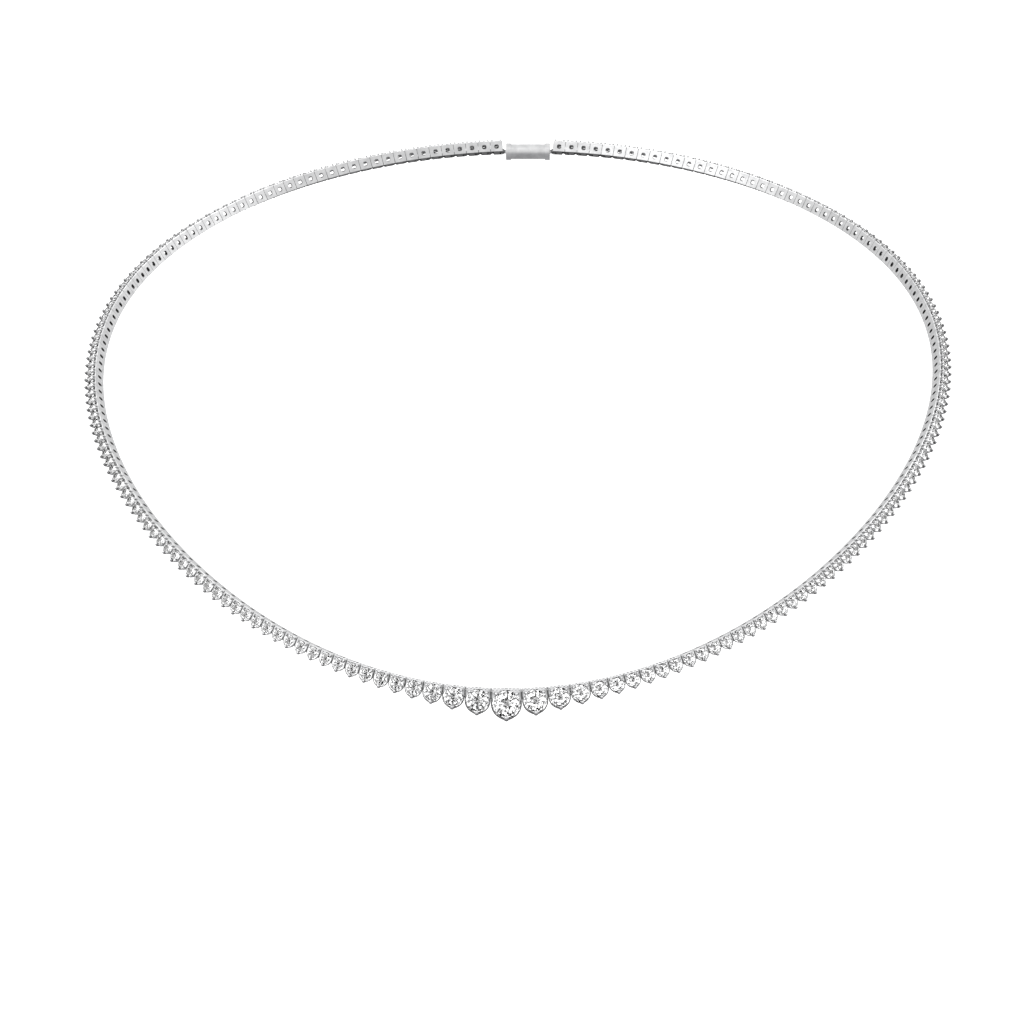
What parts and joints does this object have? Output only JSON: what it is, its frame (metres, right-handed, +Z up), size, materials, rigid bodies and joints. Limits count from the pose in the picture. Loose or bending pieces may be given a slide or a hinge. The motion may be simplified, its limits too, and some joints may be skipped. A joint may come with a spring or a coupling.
{
  "type": "riviere necklace",
  "caption": "Graduated necklace of round faceted stones, each in a hinged three-prong setting, forming one closed loop that lies round the neck, low in front and high at the nape.",
  "frame": {"origin": "on the middle line of the neck, half way between the front stone and the nape in depth and in height", "axes": "+X to the wearer's left, +Y to the nape, +Z up; the front stone lies at -Y and faces -Y"},
  "size_m": [0.1298, 0.1394, 0.0567],
  "materials": {
    "white_gold": "polished, rhodium plated",
    "diamond": "clear, cut and polished",
    "stone_set_links": "polished metal with a clear cut stone in each link"
  },
  "bodies": {
    "root": {"setting_front": "white_gold", "stone_front": "diamond", "setting_left_1": "white_gold", "setting_left_2": "white_gold", "setting_left_3": "white_gold", "setting_left_4": "white_gold", "setting_left_5": "white_gold", "setting_left_6": "white_gold", "setting_left_7": "white_gold", "setting_left_8": "white_gold", "setting_left_9": "white_gold", "setting_right_1": "white_gold", "setting_right_2": "white_gold", "setting_right_3": "white_gold", "setting_right_4": "white_gold", "setting_right_5": "white_gold", "setting_right_6": "white_gold", "setting_right_7": "white_gold", "setting_right_8": "white_gold", "setting_right_9": "white_gold", "stone_left_1": "diamond", "stone_left_2": "diamond", "stone_left_3": "diamond", "stone_left_4": "diamond", "stone_left_5": "diamond", "stone_left_6": "diamond", "stone_left_7": "diamond", "stone_left_8": "diamond", "stone_left_9": "diamond", "stone_right_1": "diamond", "stone_right_2": "diamond", "stone_right_3": "diamond", "stone_right_4": "diamond", "stone_right_5": "diamond", "stone_right_6": "diamond", "stone_right_7": "diamond", "stone_right_8": "diamond", "stone_right_9": "diamond", "chain_left": "stone_set_links", "chain_right": "stone_set_links", "clasp": "white_gold"}
  },
  "joints": []
}
